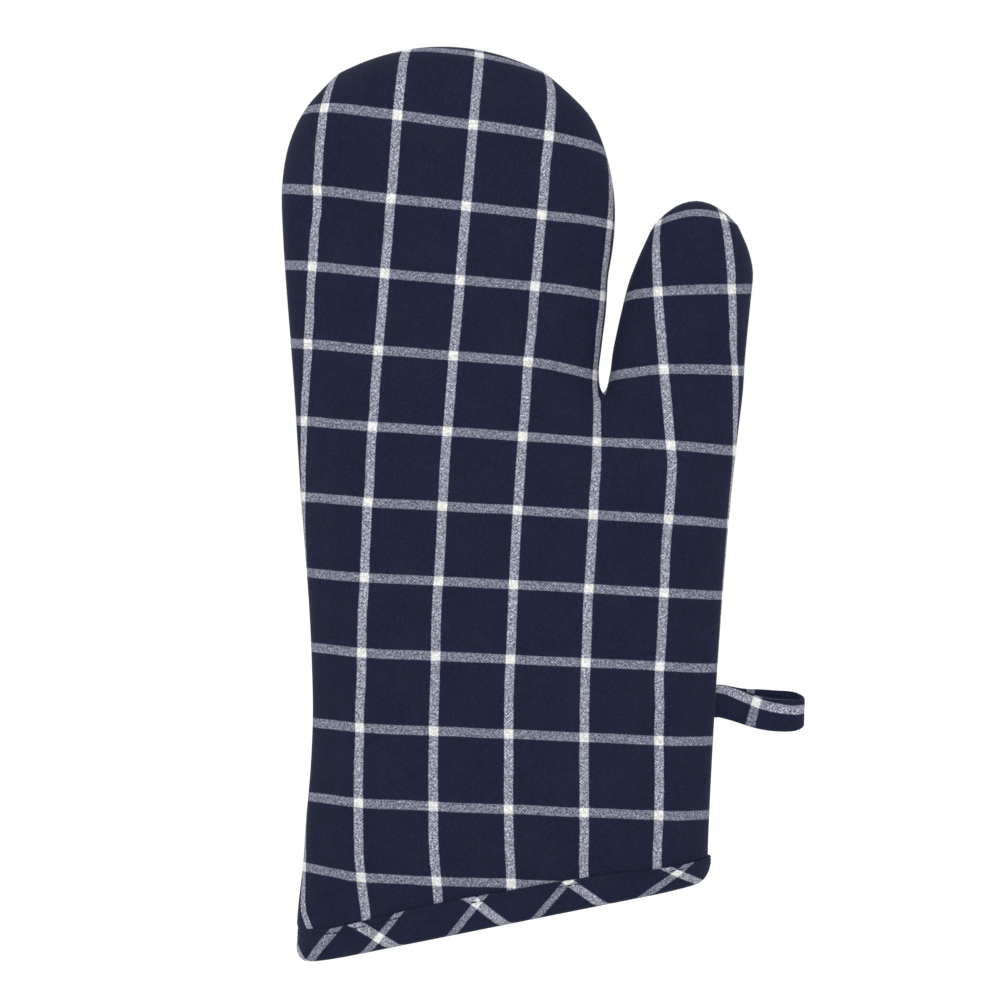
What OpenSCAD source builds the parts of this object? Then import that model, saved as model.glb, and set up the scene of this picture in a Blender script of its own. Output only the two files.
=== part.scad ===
// Padded oven mitt with a slanted, bound cuff and a hanging loop in its thumb-side seam.
// It stands fingers up: +Z to the fingertips, +X to the thumb side, -Y out of the front panel.
// The seam that joins the two halves lies in the plane y = 0. The origin is the middle of the
// cuff's open mouth.

/* [Mitt] */
// Length from the cuff's lowest corner to the fingertips
mitt_length = 330; // [300:1:360]
// Width from the little finger's side to the thumb's side
mitt_width = 170; // [160:1:185]
// Thickness through the middle of the palm, from front to back
mitt_thickness = 28; // [24:1:36]
// How far in from the seam the rounded edge reaches the full thickness
edge_round = 20; // [16:1:21]

/* [Layers] */
// Thickness of the outer cotton
shell_cloth = 0.5; // [0.4:0.1:0.8]
// Thickness of the wadding
wadding_loft = 4.5; // [3:0.5:5]
// Thickness of the lining cotton
lining_cloth = 0.5; // [0.4:0.1:0.8]

/* [Cuff binding] */
// Height of the binding on the finger side, above the layers' raw edge
binding_height = 10; // [8:0.5:14]
// Thickness of the folded binding strip
binding_cloth = 1; // [0.8:0.1:1.4]

/* [Hanging loop] */
// Height of the middle of the loop above the origin
loop_z = 79; // [60:1:110]
// Width of the loop's strip
strip_width = 12; // [10:0.5:14]
// Thickness of the loop's folded strip
strip_thickness = 1.6; // [1.2:0.1:2]
// Gap between the two legs of the loop
loop_gap = 9; // [7:0.5:12]
// How far the loop stands out from the hinge line at the seam
loop_reach = 29.5; // [26:0.5:34]

/* [Sewing] */
// Distance between two stitches of a seam
stitch_pitch = 5; // [4:0.5:8]
// Diameter of the sewing thread
thread_diameter = 0.4; // [0.3:0.1:0.5]

/* [Hidden] */

navy = "#22263e";
undyed = "#e9e4d6";
batting = "#f3f1ea";

// The outline was drawn for a mitt of this size, and is stretched to the size asked for.
drawn_length = 330;
drawn_width = 170;

// Outline points as [x, z]. Each side is a smooth curve through its points, from the cuff up.
finger_side_low = [[-75.5, -14], [-74, 27], [-71, 68], [-72, 109], [-75, 150], [-77.5, 190]];
finger_side_high = [[-77.5, 190], [-79.5, 217], [-81.5, 244], [-81.5, 270], [-75, 290], [-62, 305]];
hand_inner_side = [[34, 190], [32.5, 212], [36.5, 234], [38.5, 252], [37, 269], [30, 289], [14, 305]];
thumb_inner_side = [[34, 190], [37, 204], [40, 218], [44, 233], [51.5, 250]];
thumb_side_high = [[84.5, 190], [85.5, 205], [87, 220], [88, 236], [83, 250]];
thumb_side_low = [[71.5, 15.5], [73, 50], [75, 85], [77.5, 120], [80.5, 155], [84.5, 190]];
// Point on the cuff edge that stands under the crotch of the thumb
cuff_under_crotch = [27, 6.5];
// How far the rounded ends stand above the straight line between their corners
fingertip_rise = 10;
thumb_tip_rise = 9.5;

// Grid of one panel: columns across the hand and the thumb, rows in its three areas
hand_cols = 12;
thumb_cols = 8;
cols = hand_cols + thumb_cols;
bound_rows = 2;
wrist_rows = 12;
finger_rows = 11;
thumb_rows = 8;

// Depths of the layers below the outer face
depth_wadding = shell_cloth;
depth_lining = depth_wadding + wadding_loft;
depth_inside = depth_lining + lining_cloth;
half_thickness = mitt_thickness / 2;

// Share of the wrist's height, on the finger side, that the binding covers
wrist_height = finger_side_high[0][1] - finger_side_low[0][1];
bound_share = binding_height / wrist_height;

// Where the stitches lie below the faces that they run under, and how long they are
seam_inset = 1.5;
seam_stitch_length = 5;
lining_stitch_length = 1.2;
loop_inset = 2.2;
loop_row_step = 1.2;
topstitch_drop = 1.3;
topstitch_share = 0.6;
// The nearest that the side seam's stitches come to the seam's line, beside it and under the
// corner at the crotch
side_clearance = 1.8;
corner_clearance = 4.1;

// The hinge line's distance from the seam, beyond the strip's thickness, and how much thicker the
// rolled end is than the strip
hinge_clearance = 0.9;
root_growth = 0.4;
// Where the loop's legs begin to part, and the share of the way to the bend where they're parted
legs_part = 3;
parted_share = 0.75;

// Keeps a curve's end inside its last span
tiny = 0.000001;

function mix2(a, b, f) = a + (b - a) * f;
function rounded(i, n) = (1 - cos(180 * i / n)) / 2;
function towards_end(k, n) = sin(90 * k / n);
function sized(p) = [p[0] * mitt_width / drawn_width, p[1] * mitt_length / drawn_length];

// Smooth curve (Catmull-Rom) through the points p, at the fraction f of its way
function curve(p, f) =
    let (n = len(p) - 1, u = min(f * n, n - tiny), i = floor(u), s = u - i,
         a = p[max(i - 1, 0)], b = p[i], c = p[i + 1], d = p[min(i + 2, n)])
    (2 * b + (c - a) * s + (2 * a - 5 * b + 4 * c - d) * s ^ 2
        + (3 * b - a - 3 * c + d) * s ^ 3) / 2;

// Heights of the wrist's rows, as fractions: the binding's two rows, then even ones
function wrist_share(j) =
    j <= bound_rows ? bound_share * j / bound_rows
    : mix2(bound_share, 1, (j - bound_rows) / (wrist_rows - bound_rows));

// A row across the wrist area bends only where it passes under the crotch
function wrist_point(i, j) =
    let (f = wrist_share(j), under = mix2(cuff_under_crotch, hand_inner_side[0], f))
    i <= hand_cols ? mix2(curve(finger_side_low, f), under, rounded(i, hand_cols))
    : mix2(under, curve(thumb_side_low, f), rounded(i - hand_cols, thumb_cols));

// A row between two sides, which bows more the nearer it is to the rounded end
function bowed_point(left, right, rise, f, s) =
    mix2(curve(left, f), curve(right, f), s) + [0, rise * f ^ 2 * (1 - (2 * s - 1) ^ 2)];

function finger_point(i, k) = bowed_point(finger_side_high, hand_inner_side, fingertip_rise,
    towards_end(k, finger_rows), rounded(i, hand_cols));
function thumb_point(i, k) = bowed_point(thumb_inner_side, thumb_side_high, thumb_tip_rise,
    towards_end(k, thumb_rows), rounded(i, thumb_cols));

// The flat pattern piece: every grid point of the wrist, the fingers and the thumb, as [x, z]
pattern = [for (p = concat(
    [for (j = [0:wrist_rows]) for (i = [0:cols]) wrist_point(i, j)],
    [for (k = [1:finger_rows]) for (i = [0:hand_cols]) finger_point(i, k)],
    [for (k = [1:thumb_rows]) for (i = [0:thumb_cols]) thumb_point(i, k)])) sized(p)];

finger_start = (wrist_rows + 1) * (cols + 1);
thumb_start = finger_start + finger_rows * (hand_cols + 1);
function at_wrist(i, j) = j * (cols + 1) + i;
function at_fingers(i, k) =
    k == 0 ? at_wrist(i, wrist_rows) : finger_start + (k - 1) * (hand_cols + 1) + i;
function at_thumb(i, k) =
    k == 0 ? at_wrist(hand_cols + i, wrist_rows) : thumb_start + (k - 1) * (thumb_cols + 1) + i;

// The seam, from the cuff up the finger side, over the fingers, down to the crotch, over the
// thumb and down its side to the cuff, as indices into the pattern
seam = concat(
    [for (j = [0:wrist_rows]) at_wrist(0, j)],
    [for (k = [1:finger_rows]) at_fingers(0, k)],
    [for (i = [1:hand_cols]) at_fingers(i, finger_rows)],
    [for (k = [finger_rows - 1:-1:0]) at_fingers(hand_cols, k)],
    [for (k = [1:thumb_rows]) at_thumb(0, k)],
    [for (i = [1:thumb_cols]) at_thumb(i, thumb_rows)],
    [for (k = [thumb_rows - 1:-1:1]) at_thumb(thumb_cols, k)],
    [for (j = [wrist_rows:-1:0]) at_wrist(cols, j)]);
seam_line = [for (s = seam) pattern[s]];
seam_last = len(seam) - 1;
// The seam's point at the crotch of the thumb
crotch = wrist_rows + 2 * finger_rows + hand_cols;

// Nearest point to p on the line from a to b
function on_line(p, a, b) =
    let (ab = b - a, f = ((p - a) * ab) / (ab * ab)) a + ab * max(0, min(1, f));

// The way into the mitt from the seam's point k: square to the seam, and at a corner halfway
// between the two ways
function along(k) = let (step = seam_line[k + 1] - seam_line[k]) step / norm(step);
function inward(k) =
    let (t = along(max(k - 1, 0)) + along(min(k, seam_last - 1))) [t[1], -t[0]] / norm(t);

// The seam's nearest point to p
function seam_foot(p) =
    let (near = [for (s = [0:seam_last - 1]) on_line(p, seam_line[s], seam_line[s + 1])],
         gaps = [for (n = near) norm(p - n)])
    near[search(min(gaps), gaps)[0]];

// For a pattern point: the way from the seam to it, and its distance as a share of the edge
function from_seam(index) =
    let (p = pattern[index], k = search(index, seam))
    len(k) > 0 ? [inward(k[0]), 0]
    : let (foot = seam_foot(p), gap = norm(p - foot)) [(p - foot) / gap, min(gap / edge_round, 1)];
edge_facts = [for (index = [0:len(pattern) - 1]) from_seam(index)];

// The surface at a depth below the outer face, on the front half. The edge is a quarter of an
// ellipse, and the layers nest inside one another.
function layer_point(index, depth) =
    let (way = edge_facts[index][0], q = edge_facts[index][1],
         p = pattern[index] + way * depth * (1 - q),
         height = (half_thickness - depth) * sqrt(1 - (1 - q) ^ 2))
    [p[0], -height, p[1]];
function layer(depth) = [for (index = [0:len(pattern) - 1]) layer_point(index, depth)];

// The grid's cells as triangles
function cell(a, b, c, d) = [[a, b, c], [a, c, d]];
cells = [for (pair = concat(
    [for (j = [0:wrist_rows - 1]) for (i = [0:cols - 1])
        cell(at_wrist(i, j), at_wrist(i + 1, j), at_wrist(i + 1, j + 1), at_wrist(i, j + 1))],
    [for (k = [0:finger_rows - 1]) for (i = [0:hand_cols - 1])
        cell(at_fingers(i, k), at_fingers(i + 1, k), at_fingers(i + 1, k + 1),
            at_fingers(i, k + 1))],
    [for (k = [0:thumb_rows - 1]) for (i = [0:thumb_cols - 1])
        cell(at_thumb(i, k), at_thumb(i + 1, k), at_thumb(i + 1, k + 1), at_thumb(i, k + 1))]))
    each pair];
// The way round the whole pattern piece: the seam, then back along the cuff's edge
rim = concat(seam, [for (i = [cols - 1:-1:1]) at_wrist(i, 0)]);

// One layer's front half, between two depths
module panel(outer, inner) {
    n = len(pattern);
    polyhedron(
        points = concat(layer(outer), layer(inner)),
        faces = concat(
            [for (c = cells) [c[2], c[1], c[0]]],
            [for (c = cells) [c[0] + n, c[1] + n, c[2] + n]],
            [for (k = [0:len(rim) - 1]) let (a = rim[k], b = rim[(k + 1) % len(rim)])
                each [[a, b, b + n], [a, b + n, a + n]]]));
}

module back_half() {
    mirror([0, 1, 0]) children();
}

module shell_front() {
    color(navy) panel(0, depth_wadding);
}

module shell_back() {
    color(navy) back_half() panel(0, depth_wadding);
}

module wadding_front() {
    color(batting) panel(depth_wadding, depth_lining);
}

module wadding_back() {
    color(batting) back_half() panel(depth_wadding, depth_lining);
}

module lining_front() {
    color(undyed) panel(depth_lining, depth_inside);
}

module lining_back() {
    color(undyed) back_half() panel(depth_lining, depth_inside);
}

// The column and the side (-1 front, 1 back) of each place round the cuff
around_cuff = concat([for (i = [0:cols]) [i, -1]], [for (i = [cols - 1:-1:1]) [i, 1]]);

function cuff_point(place, row, depth, drop = 0) =
    let (p = layer_point(at_wrist(place[0], row), depth))
    [p[0], p[1] * -place[1], p[2] - drop];

// The binding's folded section at one place, up the outside, over the raw edges and down inside
function binding_section(place) = concat(
    [cuff_point(place, 0, -binding_cloth, binding_cloth)],
    [for (row = [1:bound_rows]) cuff_point(place, row, -binding_cloth)],
    [for (row = [bound_rows:-1:0]) cuff_point(place, row, 0)],
    [for (row = [0:bound_rows]) cuff_point(place, row, depth_inside)],
    [for (row = [bound_rows:-1:1]) cuff_point(place, row, depth_inside + binding_cloth)],
    [cuff_point(place, 0, depth_inside + binding_cloth, binding_cloth)]);

// The strip's faces split along the same diagonals as the layers that they lie on
module cuff_binding() {
    places = len(around_cuff);
    size = len(binding_section(around_cuff[0]));
    rises_to = size / 2;
    color(navy) polyhedron(
        points = [for (place = around_cuff) each binding_section(place)],
        faces = [for (k = [0:places - 1]) for (m = [0:size - 1])
            let (a = k * size + m, b = k * size + (m + 1) % size,
                 next = ((k + 1) % places) * size,
                 c = next + (m + 1) % size, d = next + m,
                 on_front = k < cols,
                 rising = m < bound_rows || (m >= rises_to && m < size - bound_rows - 1))
            each (rising == on_front ? [[a, c, b], [a, d, c]] : [[a, d, b], [b, d, c]])]);
}

// A thread's short straight stitch, through the point p along the direction given
module stitch(p, direction, length) {
    tilt = acos(direction[2] / norm(direction));
    turn = atan2(direction[1], direction[0]);
    translate(p) rotate([0, tilt, turn])
        cylinder(h = length, d = thread_diameter, center = true, $fn = 16);
}

// Running length of a line up to each of its points
function lengths(line, k = 0, sum = 0) =
    k >= len(line) ? []
    : let (s = k == 0 ? 0 : sum + norm(line[k] - line[k - 1])) concat([s], lengths(line, k + 1, s));
function total(sums) = sums[len(sums) - 1];

// Segment of the line that holds the running length s, and the point there
function segment_at(sums, s) = max([for (k = [0:len(sums) - 2]) if (sums[k] <= s) k]);
function point_at(line, sums, s) =
    let (k = segment_at(sums, s)) mix2(line[k], line[k + 1], (s - sums[k]) / (sums[k + 1] - sums[k]));

// The place p, moved away from the seam if it's nearer than the clearance
function clear_of_seam(p) =
    let (plan = [p[0], p[2]], foot = seam_foot(plan), gap = norm(plan - foot),
         clearance = foot == seam_line[crotch] ? corner_clearance : side_clearance,
         clear = foot + (plan - foot) * max(1, clearance / gap))
    [clear[0], 0, clear[1]];

// The middles of the stitches along the seam, at a depth below the outer face. They begin above
// the binding.
function seam_places(depth) =
    let (line = [for (k = [bound_rows:seam_last - bound_rows]) layer_point(seam[k], depth)],
         sums = lengths(line), count = floor(total(sums) / stitch_pitch))
    [for (k = [1:count - 1]) point_at(line, sums, k * total(sums) / count)];

module seam_thread() {
    color(navy) for (p = seam_places(depth_wadding + seam_inset))
        stitch(clear_of_seam(p), [0, 1, 0], seam_stitch_length);
}

module lining_thread() {
    color(undyed) for (p = seam_places((depth_lining + depth_inside) / 2))
        stitch(p, [0, 1, 0], lining_stitch_length);
}

// Topstitching that lies along the binding, just under its upper edge, on both faces
module binding_thread() {
    line = [for (place = concat(around_cuff, [around_cuff[0]]))
        mix2(cuff_point(place, bound_rows, -binding_cloth),
            cuff_point(place, bound_rows - 1, -binding_cloth),
            topstitch_drop * bound_rows / binding_height)];
    sums = lengths(line);
    count = floor(total(sums) / stitch_pitch);
    color(navy) for (k = [0:count - 1]) {
        s = (k + 0.5) * total(sums) / count;
        n = segment_at(sums, s);
        stitch(point_at(line, sums, s), line[n + 1] - line[n], stitch_pitch * topstitch_share);
    }
}

// The hanging loop turns about an upright line just outside the seam
hinge_x = seam_x(loop_z) + strip_thickness + hinge_clearance;
function seam_x(z) =
    let (side = [for (j = [0:wrist_rows]) pattern[at_wrist(cols, j)]],
         j = max([for (k = [0:wrist_rows - 1]) if (side[k][1] <= z) k]))
    mix2(side[j], side[j + 1], (z - side[j][1]) / (side[j + 1][1] - side[j][1]))[0];

// Two short rows that hold the loop's ends in the seam
module loop_thread() {
    per_row = 5;
    color(navy) for (row = [0, 1]) for (k = [0:per_row - 1]) {
        z = loop_z + (k - (per_row - 1) / 2) * strip_width / per_row;
        stitch([seam_x(z) - depth_wadding - loop_inset - row * loop_row_step, 0, z], [0, 1, 0],
            seam_stitch_length);
    }
}

// Half the gap between the legs, at x from the hinge line
function leg_rise(x, start, end) =
    let (f = max(0, min(1, (x - start) / (end - start)))) f * f * (3 - 2 * f);

// The strip leaves the seam folded double, opens into two legs and turns round at its far end
module hanging_loop() {
    half_gap = loop_gap / 2;
    bend_x = loop_reach - half_gap - strip_thickness;
    steps = 10;
    arc_step = 15;
    stations = [for (k = [0:steps]) mix2(legs_part, bend_x, k / steps)];
    inner_leg = [for (x = stations) [x, half_gap * leg_rise(x, legs_part, bend_x * parted_share)]];
    outer_leg = concat([[0, strip_thickness]], [for (p = inner_leg) p + [0, strip_thickness]]);
    color(navy) translate([hinge_x, 0, loop_z]) {
        linear_extrude(strip_width, center = true) difference() {
            loop_outline(outer_leg, bend_x, half_gap + strip_thickness, arc_step);
            loop_outline(inner_leg, bend_x, half_gap, arc_step);
        }
        cylinder(r = strip_thickness + root_growth, h = strip_width, center = true, $fn = 48);
    }
}

// A leg, the round end and the leg's mirror image
module loop_outline(leg, bend_x, radius, arc_step) {
    last = len(leg) - 1;
    polygon(concat(
        leg,
        [for (a = [90 - arc_step:-arc_step:-90 + arc_step]) [bend_x + radius * cos(a), radius * sin(a)]],
        [for (k = [last:-1:0]) if (leg[k][1] > 0) [leg[k][0], -leg[k][1]]]));
}

shell_front();
shell_back();
wadding_front();
wadding_back();
lining_front();
lining_back();
cuff_binding();
seam_thread();
lining_thread();
binding_thread();
loop_thread();
hanging_loop();
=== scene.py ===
"""Oven mitt: cloth, wadding, lining, binding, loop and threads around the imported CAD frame.

Shapes are worked out in millimetres in the row frame (X to the thumb, Z to the fingertips, -Y to
the front) and scaled to metres when a mesh is made.
"""

import math

import bpy
import numpy as np
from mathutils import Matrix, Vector, geometry, noise


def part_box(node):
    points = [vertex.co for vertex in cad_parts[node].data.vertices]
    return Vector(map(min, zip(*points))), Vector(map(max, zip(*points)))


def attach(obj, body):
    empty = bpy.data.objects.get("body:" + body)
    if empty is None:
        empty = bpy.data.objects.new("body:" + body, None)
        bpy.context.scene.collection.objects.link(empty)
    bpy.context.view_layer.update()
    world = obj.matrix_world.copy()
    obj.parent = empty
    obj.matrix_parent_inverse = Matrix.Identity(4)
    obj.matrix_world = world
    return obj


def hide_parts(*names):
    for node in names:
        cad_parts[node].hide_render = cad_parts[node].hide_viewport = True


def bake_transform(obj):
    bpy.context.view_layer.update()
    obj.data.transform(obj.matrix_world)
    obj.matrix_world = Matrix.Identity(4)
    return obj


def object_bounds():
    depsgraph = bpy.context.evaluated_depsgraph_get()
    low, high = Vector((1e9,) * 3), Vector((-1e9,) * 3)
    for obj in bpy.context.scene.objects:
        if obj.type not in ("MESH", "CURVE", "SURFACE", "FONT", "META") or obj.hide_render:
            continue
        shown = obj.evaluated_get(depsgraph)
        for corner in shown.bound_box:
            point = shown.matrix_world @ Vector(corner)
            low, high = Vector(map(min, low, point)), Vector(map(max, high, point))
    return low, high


MM = 0.001

# The mitt's padded body
HALF_THICKNESS = 13.0  # from the seam plane to the palm's face, before the cloth swells
EDGE_ROUND = 20.0  # how far in from the seam the face is flat
SPACING = 2.6  # between the cloth's vertices
SEAM_DIP = 0.9  # how deep the seam sits between the two rounded edges
BOUND_HEIGHT = 12.5  # the cuff below this is held by its binding, so it doesn't swell
CORNER = 5.2  # radius of the cuff's lower corners, outside the binding
BINDING_CLOTH = 1.1  # thickness of the folded binding

# Layers, as depths below the outer face
SHELL_CLOTH = 0.5
WADDING_INNER = 5.0
LINING_INNER = 5.5
LAYER_GAP = 0.05

# The check
PERIOD = 27.4  # from stripe to stripe
STRIPE = 3.4  # width of a stripe
THREAD_PITCH = 0.57  # from thread to thread in the weave

# Binding, stitches and loop
BINDING_HEIGHT = 10.2
STITCH_PITCH = 3.1
STITCH_RADIUS = 0.2
STRIP_WIDTH = 11.8
STRIP_THICKNESS = 1.5

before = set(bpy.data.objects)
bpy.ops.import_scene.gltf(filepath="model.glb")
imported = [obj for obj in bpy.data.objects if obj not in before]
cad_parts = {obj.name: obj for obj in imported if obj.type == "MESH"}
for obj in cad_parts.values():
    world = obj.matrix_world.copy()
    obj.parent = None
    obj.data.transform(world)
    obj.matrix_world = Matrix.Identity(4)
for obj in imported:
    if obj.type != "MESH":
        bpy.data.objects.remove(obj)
cad_low, cad_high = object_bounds()


# ---------------------------------------------------------------- meshes


def new_mesh(name, points, faces):
    """A smooth object from points in millimetres and faces as index lists."""
    mesh = bpy.data.meshes.new(name)
    mesh.from_pydata([tuple(p) for p in np.asarray(points) * MM], [], [list(f) for f in faces])
    mesh.validate()
    mesh.polygons.foreach_set("use_smooth", [True] * len(mesh.polygons))
    obj = bpy.data.objects.new(name, mesh)
    bpy.context.scene.collection.objects.link(obj)
    return obj


def set_cloth_coordinates(obj, values):
    """Where each vertex lies on the flat cloth, in millimetres, for the weave."""
    attribute = obj.data.attributes.new("cloth", "FLOAT_VECTOR", "POINT")
    flat = np.zeros((len(obj.data.vertices), 3), np.float32)
    flat[:, : values.shape[1]] = values
    attribute.data.foreach_set("vector", flat.ravel())


def unit(v):
    return v / np.maximum(np.linalg.norm(v, axis=-1, keepdims=True), 1e-9)


def running_length(line):
    """The length along the line up to each of its points."""
    return np.concatenate([[0], np.cumsum(np.linalg.norm(np.diff(line, axis=0), axis=1))])


def along_line(values, s, t):
    """Values given at the lengths s, read off at the lengths t."""
    return np.stack([np.interp(t, s, column) for column in values.T], axis=1)


def evenly(line, count):
    """The line again, with count even steps."""
    s = running_length(line)
    return along_line(line, s, np.linspace(0, s[-1], count + 1))


def smooth_curve(points, per_span=12):
    """Catmull-Rom curve through the points."""
    p = np.vstack([2 * points[0] - points[1], points, 2 * points[-1] - points[-2]])
    out = []
    for k in range(1, len(p) - 2):
        a, b, c, d = p[k - 1 : k + 3]
        for s in np.linspace(0, 1, per_span, endpoint=False):
            square, cube = (2 * a - 5 * b + 4 * c - d) * s**2, (3 * b - a - 3 * c + d) * s**3
            out.append((2 * b + (c - a) * s + square + cube) / 2)
    return np.array(out + [points[-1]])


def smooth_step(x):
    """From 0 to 1, level at both ends."""
    x = np.clip(x, 0, 1)
    return x * x * (3 - 2 * x)


def ripple(points, size, seed):
    """Smooth noise from -1 to 1 at each point, for things of about that size in millimetres."""
    shift = Vector((seed, 1.7 * seed, 2.3 * seed))
    return np.array([noise.noise(Vector(p) / size + shift) for p in points])


# ---------------------------------------------------------------- the seam outline

IN_PLANE = 0.002  # a vertex this near the seam plane lies on it
CROTCH_GAP = 1.0  # how much wider the gap beside the thumb is than the CAD's, on each side
CROTCH_ROUND = 2.5  # height of its round end
HAND_LEAN = 1.7  # how far the hand leans over it further up
LEAN_RISE = 24.0  # where that is, above the crotch
FINE_LENGTH = 12.0  # beside the crotch the seam has finer steps
FINE_STEPS = 9

def seam_chain():
    """The seam's points (x, z) from the CAD shell: up the finger side and down the thumb side."""
    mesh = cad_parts["shell_front"].data
    co = np.array([v.co for v in mesh.vertices]) / MM
    keys = {}
    merged = [keys.setdefault(tuple(np.round(c, 3)), len(keys)) for c in co]
    place = np.array(list(keys))
    in_plane = np.abs(place[:, 1]) < IN_PLANE
    sides = {}
    for poly in mesh.polygons:
        ring = [merged[v] for v in poly.vertices]
        flat = all(in_plane[v] for v in ring)
        for a, b in zip(ring, ring[1:] + ring[:1]):
            if in_plane[a] and in_plane[b] and a != b:
                sides.setdefault((min(a, b), max(a, b)), []).append(flat)
    links = {}
    for (a, b), flats in sides.items():
        if True in flats and False in flats:
            links.setdefault(a, []).append(b)
            links.setdefault(b, []).append(a)
    loop = [next(iter(links))]
    while len(loop) < len(links):
        loop.append(next(v for v in links[loop[-1]] if v not in loop[-2:]))
    line = place[loop][:, [0, 2]]
    # The loop runs along the shell's outer face and back along its inner one. Its two outer
    # corners at the cuff part them.
    left = np.argmin(line[:, 0] + 3 * line[:, 1])
    line = np.roll(line, -left, axis=0)
    right = np.argmax(line[:, 0] - 3 * line[:, 1])
    ways = [line[: right + 1], np.vstack([line[right:], line[:1]])[::-1]]
    return max(ways, key=lambda way: running_length(way)[-1])


def seam_outline():
    """The seam in steps that get finer beside the crotch, and the crotch's index in it."""
    chain = seam_chain()
    top = np.argmax(chain[:, 1])
    thumb_top = top + np.argmax(chain[top:, 0])
    crotch = top + np.argmin(chain[top:thumb_top, 1])
    hand = crotch_shape(smooth_curve(chain[: crotch + 1]), -1)
    thumb = crotch_shape(smooth_curve(chain[crotch:]), 1)
    parts = [graded(hand), graded(thumb[::-1])[::-1]]
    return np.vstack([parts[0], parts[1][1:]]), len(parts[0]) - 1


def crotch_shape(line, side):
    """The gap between hand and thumb has a round end, and the hand leans over it further up."""
    crotch = line[-1] if side < 0 else line[0]
    rise = line[:, 1] - crotch[1]
    beside = (np.abs(line[:, 0] - crotch[0]) < 12) & (rise < 60)
    rise = np.where(beside, np.maximum(rise, 0), 1e3)
    opening = np.sqrt(np.clip(rise / CROTCH_ROUND, 0, 1)) * (1 - smooth_step((rise - 3) / 14))
    out = line.copy()
    out[:, 0] += side * CROTCH_GAP * opening
    if side < 0:
        out[:, 0] += HAND_LEAN * np.clip(1 - ((rise - LEAN_RISE) / 20) ** 2, 0, 1) ** 2
    return out


def graded(line):
    """Even steps along the line, and finer ones over its last stretch, beside the crotch."""
    s = running_length(line)
    split = s[-1] - FINE_LENGTH
    coarse = np.linspace(0, split, int(split / SPACING) + 1)
    fine = np.linspace(split, s[-1], FINE_STEPS + 1)[1:]
    return along_line(line, s, np.concatenate([coarse, fine]))


OUTLINE, CROTCH = seam_outline()
CUFF_LEFT, CUFF_RIGHT = OUTLINE[0], OUTLINE[-1]
CUFF_WAY = (CUFF_RIGHT - CUFF_LEFT) / np.linalg.norm(CUFF_RIGHT - CUFF_LEFT)
CUFF_UP = np.array([-CUFF_WAY[1], CUFF_WAY[0]])


def inward_normals():
    """The way into the mitt, in the plan, at each point of the outline."""
    along = np.gradient(OUTLINE, axis=0)
    return unit(np.stack([along[:, 1], -along[:, 0]], axis=1))


def seam_facts(points):
    """For plan points: their distance from the seam, and the way from the seam to them."""
    a, b = OUTLINE[:-1], OUTLINE[1:]
    ab = b - a
    best = np.full(len(points), 1e9)
    foot = np.zeros((len(points), 2))
    for start, run in zip(a, ab):
        f = np.clip(((points - start) @ run) / (run @ run), 0, 1)
        near = start + f[:, None] * run
        gap = np.linalg.norm(points - near, axis=1)
        closer = gap < best
        best[closer] = gap[closer]
        foot[closer] = near[closer]
    return best, unit(points - foot)


def seam_normals(points):
    """The way into the mitt for plan points that lie on the seam."""
    gaps = np.linalg.norm(points[:, None] - OUTLINE[None], axis=2)
    return inward_normals()[np.argmin(gaps, axis=1)]


def above_cuff(points):
    """How far plan points lie above the cuff's lower edge, square to it."""
    return (points - CUFF_LEFT) @ CUFF_UP


def round_corner(x, above):
    """The cuff's lower corners are round: it rises by this much towards both of its ends."""
    from_end = np.minimum(x - CUFF_LEFT[0], CUFF_RIGHT[0] - x) + BINDING_CLOTH
    near = np.clip(1 - from_end / CORNER, 0, 1)
    return CORNER * (1 - np.sqrt(1 - near**2)) * np.clip(1 - (above + 1.0) / 8.0, 0, 1)


# ---------------------------------------------------------------- the flat panel and its edge


def edge_height(distance):
    """How far the face stands off the seam plane, by the distance from the seam."""
    q = np.clip(distance / EDGE_ROUND, 0, 1)
    return HALF_THICKNESS * np.sqrt(1 - (1 - q) ** 2)


EDGE_RINGS = 7  # rings of points over the rounded edge
RING_GAP = 0.9 * SPACING
LOWEST_ROW = 1.3  # the first points above the cuff's edge
PROFILE_D = EDGE_ROUND * np.linspace(0, 1, 400) ** 2
PROFILE_S = running_length(np.stack([PROFILE_D, edge_height(PROFILE_D)], axis=1))


def cloth_over_edge(distance):
    """How much more cloth than plan lies between the flat face and a place on the rounded edge."""
    d = np.minimum(distance, EDGE_ROUND)
    return (PROFILE_S[-1] - np.interp(d, PROFILE_D, PROFILE_S)) - (EDGE_ROUND - d)


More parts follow.
